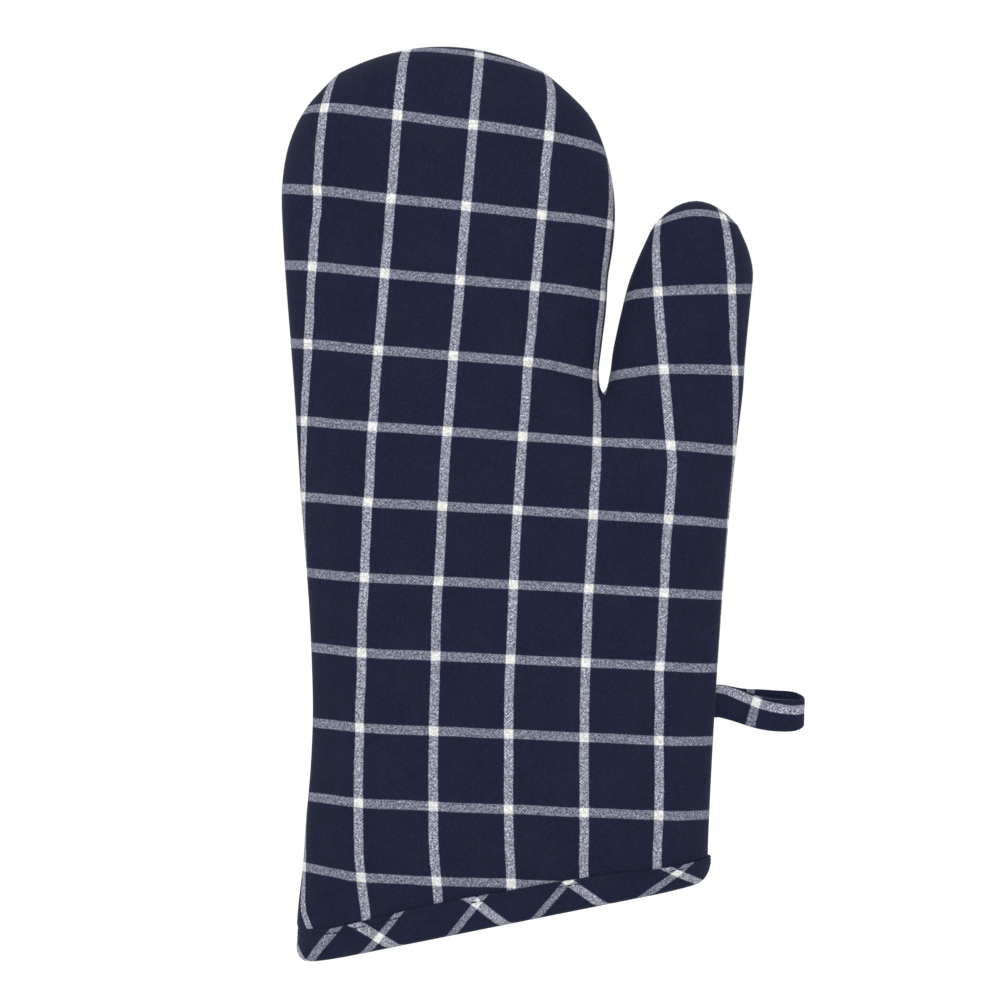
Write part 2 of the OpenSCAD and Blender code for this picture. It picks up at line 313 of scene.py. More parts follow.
def panel_points():
    """Plan points of a panel: the boundary first, then rings along the edge and a lattice."""
    normals = inward_normals()
    bottom = evenly(np.array([CUFF_RIGHT, CUFF_LEFT]), int(150 / SPACING))[1:-1]
    boundary = np.vstack([OUTLINE, bottom])
    depths = np.interp(np.arange(1, EDGE_RINGS + 1) * RING_GAP, PROFILE_S, PROFILE_D)
    # The rings go round the crotch's point in a fan.
    turn = np.radians(np.linspace(-180, 0, 7)[1:-1])
    fan = np.stack([np.cos(turn), np.sin(turn)], axis=1)
    rings = []
    for depth in depths:
        made = np.vstack([OUTLINE + normals * depth, OUTLINE[CROTCH] + fan * depth])
        made = made[(seam_facts(made)[0] > depth - 0.03) & (above_cuff(made) > LOWEST_ROW)]
        rings.append(made)
        if depth < SPACING:
            ends = np.array([CUFF_LEFT + CUFF_WAY * depth, CUFF_RIGHT - CUFF_WAY * depth])
            boundary = np.vstack([boundary, ends])
    step = SPACING * math.sqrt(3) / 2
    low, high = OUTLINE.min(axis=0) - 5, OUTLINE.max(axis=0) + 5
    lattice = []
    for row, z in enumerate(np.arange(low[1], high[1], step)):
        for x in np.arange(low[0] + (row % 2) * SPACING / 2, high[0], SPACING):
            lattice.append((x, z))
    lattice = np.array(lattice)
    deep = seam_facts(lattice)[0] > depths[-1] + SPACING * 0.6
    lattice = lattice[deep & (above_cuff(lattice) > LOWEST_ROW)]
    rings = np.vstack(rings)
    return boundary, rings[inside_outline(rings)], lattice[inside_outline(lattice)]


def inside_outline(points):
    """Whether each plan point lies inside the outline, by counting crossings of its edges."""
    loop = np.vstack([OUTLINE, OUTLINE[:1]])
    inside = np.zeros(len(points), bool)
    for (x0, z0), (x1, z1) in zip(loop[:-1], loop[1:]):
        if z0 == z1:
            continue
        crosses = (z0 > points[:, 1]) != (z1 > points[:, 1])
        at = x0 + (points[:, 1] - z0) / (z1 - z0) * (x1 - x0)
        inside ^= crosses & (points[:, 0] < at)
    return inside


def flat_panel():
    """Plan points and triangles of one panel."""
    boundary, rings, lattice = panel_points()
    count = len(OUTLINE)
    on_cuff = np.arange(count, len(boundary))
    order = on_cuff[np.argsort(-(boundary[on_cuff] - CUFF_LEFT) @ CUFF_WAY)]
    loop = list(range(count)) + list(order)
    points = np.vstack([boundary, rings, lattice])
    result = geometry.delaunay_2d_cdt([Vector(p) for p in points], [], [loop], 1, 1e-4)
    plan = np.array([tuple(v) for v in result[0]])
    return plan, [list(f) for f in result[2]]


# ---------------------------------------------------------------- the swollen body


class Body:
    """Both outer panels as one cloth, sewn along the seam: the front's points, then the back's."""

    def __init__(self):
        self.plan, self.triangles = flat_panel()
        self.distance, self.way = seam_facts(self.plan)
        self.distance[self.distance < 1e-3] = 0
        count = len(self.plan)
        on_seam = self.distance == 0
        self.way[on_seam] = seam_normals(self.plan[on_seam])
        back = np.where(on_seam, np.arange(count), 0)
        back[~on_seam] = count + np.arange((~on_seam).sum())
        self.back = back
        front = np.stack([self.plan[:, 0], -edge_height(self.distance), self.plan[:, 1]], axis=1)
        rear = front[~on_seam] * [1, -1, 1]
        self.points = np.vstack([front, rear])
        self.front_faces = [f if self.faces_front(f) else f[::-1] for f in self.triangles]
        self.back_faces = [[int(back[v]) for v in f[::-1]] for f in self.front_faces]
        self.on_seam = on_seam

    def faces_front(self, face):
        a, b, c = (self.plan[v] for v in face)
        return (b[0] - a[0]) * (c[1] - a[1]) - (b[1] - a[1]) * (c[0] - a[0]) > 0

    def both(self, values):
        """Values of the plan's points, for the front's points and then the back's."""
        return np.concatenate([values, values[~self.on_seam]])

    def held(self):
        """Whether each point is held still: the seam and what the binding grips."""
        return self.both(self.on_seam | (above_cuff(self.plan) < BOUND_HEIGHT))

    def normals(self, points):
        """Outward unit vectors at all the cloth's points."""
        faces = np.array(self.front_faces + self.back_faces)
        a, b, c = points[faces[:, 0]], points[faces[:, 1]], points[faces[:, 2]]
        across = np.cross(b - a, c - a)
        total = np.zeros_like(points)
        for k in range(3):
            np.add.at(total, faces[:, k], across)
        return unit(total)


BULGE = 1.5  # of the outer cloth over the end of the binding
SWELL_FRAMES = 20
SWELL_LIMIT = 3.0  # the furthest that a point may move
SWELL_FROM_SEAM = 9.0  # the edge beside the seam keeps its drawn shape, and swells fully from here


def swell(body):
    """Runs the cloth: the panels swell from inside, held along the seam and at the cuff."""
    piece = new_mesh("swelling_cloth", body.points, body.front_faces + body.back_faces)
    held = piece.vertex_groups.new(name="held")
    held.add([int(v) for v in np.nonzero(body.held())[0]], 1.0, "REPLACE")
    cloth = piece.modifiers.new("Cloth", "CLOTH")
    settings = cloth.settings
    settings.quality = 6
    settings.mass = 0.15
    settings.tension_stiffness = 25
    settings.compression_stiffness = 25
    settings.shear_stiffness = 12
    settings.bending_stiffness = 6
    settings.use_pressure = True
    settings.uniform_pressure_force = 3.0
    settings.effector_weights.gravity = 0
    settings.vertex_group_mass = "held"
    settings.shrink_min = -0.008
    cloth.point_cache.frame_end = SWELL_FRAMES
    scene = bpy.context.scene
    for number in range(1, SWELL_FRAMES + 1):
        scene.frame_set(number)
    evaluated = piece.evaluated_get(bpy.context.evaluated_depsgraph_get())
    swollen = np.array([v.co for v in evaluated.data.vertices]) / MM
    scene.frame_set(1)
    bpy.data.objects.remove(piece)
    move = swollen - body.points
    length = np.linalg.norm(move, axis=1, keepdims=True)
    capped = SWELL_LIMIT * np.tanh(length / SWELL_LIMIT) / np.maximum(length, 1e-6)
    share = smooth_step(body.both(body.distance) / SWELL_FROM_SEAM)
    return body.points + move * capped * share[:, None]


def sink_seam(body, points):
    """The seam lies a little below the rounded edges on both sides of it, and on the finger side
    the cloth bulges out over the end of the binding."""
    above = above_cuff(body.plan)
    from_crotch = np.linalg.norm(body.plan - OUTLINE[CROTCH], axis=1)
    dip = smooth_step((above - 4) / 30) * smooth_step((from_crotch - 5) / 10)
    out = points.copy()
    bulge = BULGE * smooth_step((above - 8) / 4) * (1 - smooth_step((above - 12) / 26))
    bulge *= (body.plan[:, 0] < 0) * (1 - smooth_step(body.distance / 14))
    out[:, 0] -= body.both(bulge)
    seam = np.nonzero(body.on_seam)[0]
    sunk = body.way[seam] * (SEAM_DIP * dip[seam])[:, None]
    out[seam, 0] += sunk[:, 0]
    out[seam, 2] += sunk[:, 1]
    return out


# ---------------------------------------------------------------- where the check runs


def front_check(plan, spread):
    """Flat-cloth coordinates of the front. The check leans towards the thumb as it goes up, and
    its rows dip towards the thumb, whose own cloth is pulled upright again."""
    # x and h are decimetres from the palm's middle. The coefficients of leaned, fanned and dipped
    # and of the plain terms began as a least-squares fit to the places where the stripes cross.
    x, h = spread[:, 0] / 100, (spread[:, 1] - 90) / 100
    leaned = h * (3.0 + 3.7 * h - 0.76 * h**2)
    fanned = x * (0.25 * h + 0.23 * x + 0.26 * h**2)
    across = 102.6 * x - 0.3 - leaned - fanned
    dipped = x * (4.5 + 1.3 * h + 1.1 * x + 1.5 * h**2)
    up = 103.5 * h - 5.2 + dipped + 0.52 * h**2 - 0.63 * h**3
    # Beside the binding's end the cloth is pulled round to the front, and swept in just above it.
    pulled = smooth_step((-62 - plan[:, 0]) / 12) * (1 - smooth_step((plan[:, 1] - 10) / 60))
    gathered = smooth_step((34 - above_cuff(plan)) / 24) * (0.35 - 0.022 * plan[:, 0])
    swept = smooth_step((-60 - plan[:, 0]) / 10) * smooth_step((19 - above_cuff(plan)) / 10)
    across = across - 3.2 * pulled - gathered - 3.8 * swept
    # Beside the finger side's seam the rows turn up, most near the cuff, and one row sags.
    near_cuff = smooth_step((48 - plan[:, 1]) / 36)
    turned_up = smooth_step((-46 - plan[:, 0]) / 30) * (0.8 + 1.6 * near_cuff)
    sagged = 1.4 * np.exp(-(((plan[:, 1] - 259) / 16) ** 2))
    up = up - turned_up + sagged
    # The thumb's last row is arched over its tip.
    arched = np.exp(-(((plan[:, 0] - 65) / 12) ** 2)) * smooth_step((plan[:, 1] - 238) / 14)
    up = up - 1.9 * arched
    # The thumb's cloth parts from the hand's at the crotch, and above it along the gap.
    from_crotch = np.hypot(plan[:, 0] - 34, plan[:, 1] - 196)
    up = up + 2.4 * np.exp(-((from_crotch / 15) ** 2))
    divide = 34 + 0.0029 * np.maximum(plan[:, 1] - 190, 0) ** 2
    width = np.interp(plan[:, 1], [165, 195], [14, 1.5])
    thumb = smooth_step((plan[:, 0] - divide) / width * 0.5 + 0.5) * np.maximum(plan[:, 1] - 165, 0)
    return np.stack([across + 0.17 * thumb, up - thumb * (0.05 + 0.22 * (x - 0.54))], axis=1)


def back_check(_, spread):
    """The back panel is cut nearly straight, and its check doesn't meet the front's."""
    lean = math.radians(1.5)
    across, up = [-math.cos(lean), math.sin(lean)], [math.sin(lean), math.cos(lean)]
    return spread @ np.array([across, up]).T + [8, -6]


def panel_coordinates(body, check):
    """Where each plan point lies on the flat cloth, which spreads out over the rounded edge."""
    spread = body.plan - body.way * cloth_over_edge(body.distance)[:, None]
    return check(body.plan, spread)


# ---------------------------------------------------------------- materials


class Graph:
    """Short ways to add and join shader nodes."""

    def __init__(self, name):
        self.material = bpy.data.materials.new(name)
        self.material.use_nodes = True
        self.tree = self.material.node_tree
        self.bsdf = self.tree.nodes["Principled BSDF"]

    def feed(self, socket, value):
        if isinstance(value, bpy.types.NodeSocket):
            self.tree.links.new(value, socket)
        else:
            socket.default_value = value

    def math(self, operation, a, b=0.0, c=0.0):
        node = self.tree.nodes.new("ShaderNodeMath")
        node.operation = operation
        for socket, value in zip(node.inputs, (a, b, c)):
            self.feed(socket, value)
        return node.outputs[0]

    def step(self, value, low, high, out_low=0.0, out_high=1.0):
        node = self.tree.nodes.new("ShaderNodeMapRange")
        node.interpolation_type = "SMOOTHSTEP"
        for name, given in (
            ("Value", value),
            ("From Min", low),
            ("From Max", high),
            ("To Min", out_low),
            ("To Max", out_high),
        ):
            self.feed(node.inputs[name], given)
        return node.outputs[0]

    def mix(self, share, a, b, kind="MIX"):
        node = self.tree.nodes.new("ShaderNodeMix")
        node.data_type = "RGBA"
        node.blend_type = kind
        self.feed(node.inputs[0], share)
        self.feed(node.inputs[6], a)
        self.feed(node.inputs[7], b)
        return node.outputs[2]

    def grey(self, value):
        node = self.tree.nodes.new("ShaderNodeCombineColor")
        for socket in node.inputs[:3]:
            self.feed(socket, value)
        return node.outputs[0]

    def cloth(self):
        """The flat-cloth coordinates, as a vector and as two numbers."""
        node = self.tree.nodes.new("ShaderNodeAttribute")
        node.attribute_name = "cloth"
        split = self.tree.nodes.new("ShaderNodeSeparateXYZ")
        self.tree.links.new(node.outputs["Vector"], split.inputs[0])
        return node.outputs["Vector"], split.outputs[0], split.outputs[1]

    def noise(self, vector, scale, detail=2.0, roughness=0.5):
        node = self.tree.nodes.new("ShaderNodeTexNoise")
        node.inputs["Scale"].default_value = scale
        node.inputs["Detail"].default_value = detail
        node.inputs["Roughness"].default_value = roughness
        self.tree.links.new(vector, node.inputs["Vector"])
        return node.outputs["Fac"]

    def per_thread(self, value):
        """A fixed random number for each thread."""
        node = self.tree.nodes.new("ShaderNodeTexWhiteNoise")
        node.noise_dimensions = "1D"
        self.feed(node.inputs["W"], self.math("FLOOR", value))
        return node.outputs["Value"]

    def per_crossing(self, u, v):
        """A fixed random number for each place where two threads cross."""
        node = self.tree.nodes.new("ShaderNodeTexWhiteNoise")
        node.noise_dimensions = "2D"
        place = self.tree.nodes.new("ShaderNodeCombineXYZ")
        self.feed(place.inputs[0], self.math("FLOOR", u))
        self.feed(place.inputs[1], self.math("FLOOR", v))
        self.tree.links.new(place.outputs[0], node.inputs["Vector"])
        return node.outputs["Value"]

    def object_space(self):
        return self.tree.nodes.new("ShaderNodeTexCoord").outputs["Object"]

    def bump(self, height, strength, distance):
        node = self.tree.nodes.new("ShaderNodeBump")
        node.inputs["Strength"].default_value = strength
        node.inputs["Distance"].default_value = distance
        self.tree.links.new(height, node.inputs["Height"])
        self.tree.links.new(node.outputs[0], self.bsdf.inputs["Normal"])

    def finish(self, roughness=0.9, sheen=0.0, sheen_roughness=0.5, sheen_tint=(1, 1, 1, 1)):
        self.bsdf.inputs["Roughness"].default_value = roughness
        self.bsdf.inputs["Sheen Weight"].default_value = sheen
        self.bsdf.inputs["Sheen Roughness"].default_value = sheen_roughness
        self.bsdf.inputs["Sheen Tint"].default_value = sheen_tint
        self.bsdf.inputs["Specular IOR Level"].default_value = 0.2
        return self.material


WARP_NAVY = (0.0062, 0.0102, 0.037, 1)
WEFT_NAVY = (0.0048, 0.0082, 0.031, 1)
# painted shade: what shows between the navy yarns, darker than the yarns themselves
GAP_NAVY_SHADE = (0.0045, 0.007, 0.022, 1)
WHITE_YARN = (0.73, 0.73, 0.71, 1)
COOL_WARP = (0.385, 0.40, 0.47, 1)  # white warp beside navy weft, which dulls and cools it
COOL_WEFT = (0.29, 0.31, 0.39, 1)
FUZZ_WARP = (0.21, 0.22, 0.265, 1)  # what shows between the yarns of a stripe
FUZZ_WEFT = (0.14, 0.15, 0.195, 1)
# painted shade between the white yarns where two stripes cross
GAP_WHITE_SHADE = (0.5, 0.5, 0.48, 1)


def stripes(g, coordinate, ragged):
    """1 inside the check's stripes across this coordinate, in millimetres, else 0."""
    from_middle = g.math("ADD", g.math("PINGPONG", coordinate, PERIOD / 2), ragged)
    return g.step(from_middle, STRIPE / 2 - 0.15, STRIPE / 2 + 0.15, 1.0, 0.0)


def wandering(g, value, noise, reach):
    """The value, moved by the noise by up to half the reach either way."""
    return g.math("ADD", value, g.math("MULTIPLY_ADD", noise, reach, -reach / 2))


def check_cotton():
    """Plain-weave yarn-dyed check. White yarns show on top at every other crossing."""
    g = Graph("check_cotton")
    cloth, across, up = g.cloth()
    drift = g.noise(cloth, 0.035, 1.0)
    wobble = g.noise(cloth, 0.45, 2.0)
    slub = g.noise(cloth, 1.1, 3.0, 0.7)
    u = wandering(g, wandering(g, across, wobble, 0.22), drift, 0.9)
    v = wandering(g, wandering(g, up, slub, 0.16), drift, -0.9)

    fleck = g.noise(cloth, 1.35, 2.0, 0.65)
    ragged = g.math("MULTIPLY_ADD", fleck, 1.1, -0.55)
    warp_white = stripes(g, u, ragged)
    weft_white = stripes(g, v, ragged)
    thread_u = g.math("MULTIPLY", u, 1 / THREAD_PITCH)
    thread_v = g.math("MULTIPLY", v, 1 / THREAD_PITCH)
    turn_u = g.math("SINE", g.math("MULTIPLY", thread_u, math.pi))
    turn_v = g.math("SINE", g.math("MULTIPLY", thread_v, math.pi))
    weave = g.math("MULTIPLY", g.math("MULTIPLY", turn_u, turn_v), 0.3)
    # Loose spun yarns hide and show their neighbours unevenly, so a stripe looks speckled.
    speck = g.per_crossing(thread_u, thread_v)
    loft = wandering(g, g.math("MULTIPLY_ADD", slub, 1.6, -0.8), speck, 0.9)
    warp_up = g.step(g.math("ADD", weave, loft), -0.25, 0.45)
    weft_up = g.step(g.math("SUBTRACT", loft, weave), -0.25, 0.45)

    both = g.math("MULTIPLY", warp_white, weft_white)
    warp = g.mix(warp_white, WARP_NAVY, g.mix(both, COOL_WARP, WHITE_YARN))
    weft = g.mix(weft_white, WEFT_NAVY, g.mix(both, COOL_WEFT, WHITE_YARN))
    warp = g.mix(g.math("MULTIPLY", g.per_thread(thread_u), 0.2), warp, (0, 0, 0, 1))
    weft = g.mix(g.math("MULTIPLY", g.per_thread(thread_v), 0.2), weft, (0, 0, 0, 1))
    either = g.math("MAXIMUM", warp_white, weft_white)
    fuzz = g.mix(warp_white, FUZZ_WEFT, FUZZ_WARP)
    # Where neither yarn is up, the gap's colour shows: painted shade between the yarns in the navy
    # and where stripes cross, and the fuzz within a single stripe.
    gap = g.mix(both, g.mix(either, GAP_NAVY_SHADE, fuzz), GAP_WHITE_SHADE)
    fuzzy = g.math("MULTIPLY", g.math("SUBTRACT", either, both), 0.7)
    warp = g.mix(g.math("MULTIPLY", fuzzy, weft_white), warp, FUZZ_WEFT)
    weft = g.mix(g.math("MULTIPLY", fuzzy, warp_white), weft, FUZZ_WARP)
    colour = g.mix(g.math("MAXIMUM", weft_up, both), gap, weft)
    colour = g.mix(g.math("SUBTRACT", warp_up, g.math("MULTIPLY", weft_up, 0.25)), colour, warp)
    # The yarns' unevenness shows as flecks where white and navy mix.
    patch = g.math("MULTIPLY_ADD", g.math("SUBTRACT", fleck, 0.5), 4.5, 1.0)
    patch = g.math("MAXIMUM", patch, 0.25)
    flecked = g.mix(1.0, colour, g.grey(patch), "MULTIPLY")
    colour = g.mix(g.math("MULTIPLY_ADD", both, -0.92, either), colour, flecked)
    colour = g.mix(1.0, colour, g.grey(g.math("MULTIPLY_ADD", speck, 0.4, 0.78)), "MULTIPLY")
    wear = g.step(g.noise(cloth, 0.06, 4.0, 0.6), 0.35, 0.75, 0.0, 0.012)
    colour = g.mix(wear, colour, (0.2, 0.22, 0.3, 1))
    g.feed(g.bsdf.inputs["Base Color"], colour)

    yarns = g.math("MAXIMUM", warp_up, weft_up)
    height = g.math("ADD", yarns, g.math("MULTIPLY", slub, 0.8))
    g.bump(height, 0.4, 0.00012)
    return g.finish(roughness=0.88, sheen=0.03, sheen_roughness=0.4, sheen_tint=(0.75, 0.8, 1, 1))


LINING_PITCH = 0.6  # from thread to thread


def lining_cotton(colour):
    """Undyed plain weave."""
    g = Graph("lining_cotton")
    cloth, u, v = g.cloth()
    slub = g.noise(cloth, 0.8, 3.0, 0.7)
    turn_u = g.math("SINE", g.math("MULTIPLY", u, math.pi / LINING_PITCH))
    turn_v = g.math("SINE", g.math("MULTIPLY", v, math.pi / LINING_PITCH))
    raised = g.math("ABSOLUTE", g.math("MULTIPLY", turn_u, turn_v))
    # A darker copy of the colour where the threads sink: painted shade in the hollows of the weave.
    painted_shade = tuple(c * 0.72 for c in colour[:3]) + (1,)
    tone = g.mix(g.step(raised, 0.0, 0.5), painted_shade, colour)
    stain = g.step(g.noise(cloth, 0.05, 3.0), 0.3, 0.8, 0.0, 0.12)
    g.feed(g.bsdf.inputs["Base Color"], g.mix(stain, tone, (0.6, 0.52, 0.4, 1)))
    g.bump(g.math("ADD", raised, slub), 0.4, 0.00012)
    return g.finish(roughness=0.92, sheen=0.2)


def wadding_material():
    """Soft matted fibres."""
    g = Graph("cotton_wadding")
    place = g.object_space()
    fibres = g.noise(place, 900.0, 6.0, 0.75)
    clumps = g.noise(place, 90.0, 3.0, 0.6)
    tone = g.mix(g.step(fibres, 0.3, 0.7), (0.72, 0.70, 0.64, 1), (0.90, 0.89, 0.85, 1))
    tone = g.mix(g.step(clumps, 0.3, 0.8, 0.0, 0.25), tone, (0.78, 0.75, 0.68, 1))
    g.feed(g.bsdf.inputs["Base Color"], tone)
    g.bump(g.math("ADD", fibres, clumps), 0.7, 0.0006)
    return g.finish(roughness=0.97, sheen=0.4)


def thread_material(name, colour):
    """Twisted sewing thread."""
    g = Graph(name)
    place = g.object_space()
    wave = g.tree.nodes.new("ShaderNodeTexWave")
    wave.wave_type = "BANDS"
    wave.bands_direction = "DIAGONAL"
    wave.inputs["Scale"].default_value = 900.0
    wave.inputs["Distortion"].default_value = 1.2
    g.tree.links.new(place, wave.inputs["Vector"])
    # A darker copy of the colour along the twist's bands, the same bands that drive the bump: painted
    # shade in the grooves of the twist.
    painted_shade = tuple(c * 0.55 for c in colour[:3]) + (1,)
    g.feed(g.bsdf.inputs["Base Color"], g.mix(wave.outputs["Fac"], painted_shade, colour))
    g.bump(wave.outputs["Fac"], 0.5, 0.00006)
    return g.finish(roughness=0.7)


NAVY_THREAD = (0.009, 0.013, 0.036, 1)
UNDYED = (0.70, 0.66, 0.57, 1)
UNDYED_THREAD = (0.68, 0.64, 0.55, 1)

CHECK = check_cotton()
LINING = lining_cotton(UNDYED)
WADDING = wadding_material()
THREAD = thread_material("navy_thread", NAVY_THREAD)
PALE_THREAD = thread_material("undyed_thread", UNDYED_THREAD)


def dress(obj, material):
    obj.data.materials.clear()
    obj.data.materials.append(material)


# ---------------------------------------------------------------- the panels


def layer_solid(name, body, points, normals, side, outer, inner):
    """One layer of one half: the solid between two depths below the outer face."""
    faces = body.front_faces if side == "front" else body.back_faces
    index = np.arange(len(body.plan)) if side == "front" else body.back
    used = {int(old): new for new, old in enumerate(index)}
    local = [[used[v] for v in f] for f in faces]
    count = len(index)
    out = points[index] - normals[index] * outer
    in_ = points[index] - normals[index] * inner
    edges = {}
    for f in local:
        for a, b in zip(f, f[1:] + f[:1]):
            edges[(a, b)] = edges.get((b, a), 0) + 1
    border = [(a, b) for (a, b) in edges if (b, a) not in edges]
    rim = [[b, a, a + count, b + count] for a, b in border]
    back_side = [[v + count for v in f[::-1]] for f in local]
    return new_mesh(name, np.vstack([out, in_]), local + back_side + rim)


def smoothed(body, normals, rounds=6):
    """The normals averaged with their neighbours', so that deep layers don't cross."""
    faces = np.array(body.front_faces + body.back_faces)
    out = normals
    for _ in range(rounds):
        total = out.copy()
        for a, b in ((0, 1), (1, 2), (2, 0)):
            np.add.at(total, faces[:, a], out[faces[:, b]])
            np.add.at(total, faces[:, b], out[faces[:, a]])
        out = unit(total)
    return out


def make_layers():
    body = Body()
    points = swell(body)
    points[:, 2] += round_corner(points[:, 0], body.both(above_cuff(body.plan)))
    inner_normals = smoothed(body, body.normals(points))
    points_out = sink_seam(body, points)
    normals = body.normals(points)
    wadding_depths = (SHELL_CLOTH + SEAM_DIP + LAYER_GAP, WADDING_INNER)
    lining_depths = (WADDING_INNER + LAYER_GAP, LINING_INNER)

    def layer(name, node, side, surface, depths, flat, material):
        obj = layer_solid(f"{name}_{side}", body, *surface, side, *depths)
        set_cloth_coordinates(obj, np.vstack([flat, flat]))
        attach(obj, "mitt")
        dress(obj, material)
        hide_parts(f"{node}_{side}")
        return obj

    outside, inside = (points_out, normals), (points, inner_normals)
    for side, check in (("front", front_check), ("back", back_check)):
        flat = panel_coordinates(body, check)
        shell = layer(
            "outer_cotton", "shell", side, outside, (0, SHELL_CLOTH), flat, CHECK
        )
        wadding = layer(
            "wadding_layer", "wadding", side, inside, wadding_depths, flat, WADDING
        )
        lining = layer(
            "lining_cotton", "lining", side, inside, lining_depths, body.plan, LINING
        )


# ---------------------------------------------------------------- the cuff's binding


RING_STEPS = 180  # along each half of the cuff
END_STEPS = 16  # finer ones over the round corner at each end
BIAS_START = 33.5  # along the strip from its end to where two stripes cross
BIAS_LONGER = 0.95
BIAS_NARROWER = 0.78
JOIN_X = -62.8  # where the strip's slanting join meets the cuff's lower edge
JOIN_LEAN = 0.55  # how far it goes across for each unit up
JOIN_SHIFT = 10.7
JOIN_SKEW = 0.22  # how much less that gets for each unit up
JOIN_CROSS_SHIFT = 3.0  # how far the other way's stripes are out of step
JOIN_WIDTH = 1.2
THUMB_SIDE_RISE = 0.86  # how far up the seam a ring's end goes there, beside the finger side's
STITCH_DROP = 1.35  # from the binding's upper edge down to the stitches


def cuff_ring(height):
    """Points (x, y, z) round the shell at a height above its raw edge."""
    hand, thumb = OUTLINE[: CROTCH + 1], OUTLINE[CROTCH:][::-1]
    ends = []
    for side, share in ((hand, 1.0), (thumb, THUMB_SIDE_RISE)):
        low = max(height, 0) * share
        side = side[: np.argmax(side[:, 1] > side[0][1] + 40)]
        z = side[0][1] + low
        x = np.interp(z, side[:, 1], side[:, 0])
        ends.append(np.array([x, z + min(height, 0)]))
    f = (1 - np.cos(np.linspace(0, math.pi, 400))) / 2
    line = ends[0] + f[:, None] * (ends[1] - ends[0])
    inside = line - [0, min(height, 0)]
    distance = seam_facts(inside)[0]
    distance[[0, -1]] = 0
    front = ring_steps(np.stack([line[:, 0], -edge_height(distance), line[:, 1]], axis=1))
    back = front[::-1] * [1, -1, 1]
    return np.vstack([front[:-1], back[:-1]])


def ring_steps(line):
    """Half the ring in even steps, with finer ones over the corners at both ends."""
    s = running_length(line)
    # The cloth goes almost straight back at the ends, so the corner takes this much of its way.
    corner = s[np.argmax(line[:, 0] > line[0, 0] + CORNER)]
    fine = corner * np.linspace(0, 1, END_STEPS + 1)[:-1] ** 2
    middle = np.linspace(corner, s[-1] - corner, RING_STEPS - 2 * END_STEPS + 1)
    return along_line(line, s, np.concatenate([fine, middle, s[-1] - fine[::-1]]))


def ring_frame(height):
    """The ring's points with their outward unit vectors."""
    ring = cuff_ring(height)
    along = unit(np.roll(ring, -1, axis=0) - np.roll(ring, 1, axis=0))
    return ring, unit(np.cross(along, [CUFF_UP[0], 0, CUFF_UP[1]]))


def binding_profile():
    """(offset outward, height) round the folded strip's section, from its upper edge outside."""
    top = BINDING_HEIGHT
    inside = -LINING_INNER
    outer_face = [
        (0.10, top + 0.35),
        (0.45, top + 0.55),
        (0.85, top + 0.35),
        (1.02, top - 0.1),
        (0.98, top - 0.7),
        (0.84, top - STITCH_DROP),
        (1.0, top - 2.1),
        (1.12, top - 3.6),
        (1.15, top - 5.6),
        (1.12, top - 7.6),
        (1.05, 1.2),
    ]
    middle, half = (1.05 + inside - 1.0) / 2, (1.05 - inside + 1.0) / 2
    roll = [
        (middle + half * math.cos(a), 0.9 - 1.9 * math.sin(a))
        for a in np.radians(np.linspace(12, 168, 11))
    ]
    inner_face = [
        (inside - 1.0, 1.2),
        (inside - 1.1, top - 7.0),
        (inside - 1.1, top - 4.0),
        (inside - 0.95, top - 2.1),
        (inside - 0.8, top - STITCH_DROP),
        (inside - 0.95, top - 0.7),
        (inside - 0.85, top + 0.1),
        (inside - 0.1, top + 0.3),
    ]
    return outer_face + roll + inner_face


def puffs(s, height, seed):
    """Small swellings between stitches, strongest beside the stitch line."""
    near = math.exp(-(((height - BINDING_HEIGHT + STITCH_DROP) / 1.6) ** 2))
    wave = np.cos(2 * math.pi * s / STITCH_PITCH)
    places = np.stack([s, np.full_like(s, height), np.zeros_like(s)], axis=1)
    soft = ripple(places, 9.0, seed) * 0.22 + ripple(places, 3.5, seed + 5) * 0.08
    return -0.10 * wave * near + soft


def binding_sway(ring, s):
    """How far the binding's upper edge wanders up or down, round the cuff."""
    places = np.stack([s, np.zeros_like(s), np.zeros_like(s)], axis=1)
    knots = [-74, -62, -50, -30, 10, 32, 48, 62, 74]
    rises = [0.8, -0.2, 0.8, 1.7, 1.4, 0.9, -0.6, -1.3, -1.6]
    return np.interp(ring[:, 0], knots, rises) + ripple(places, 26.0, 3.0) * 0.25


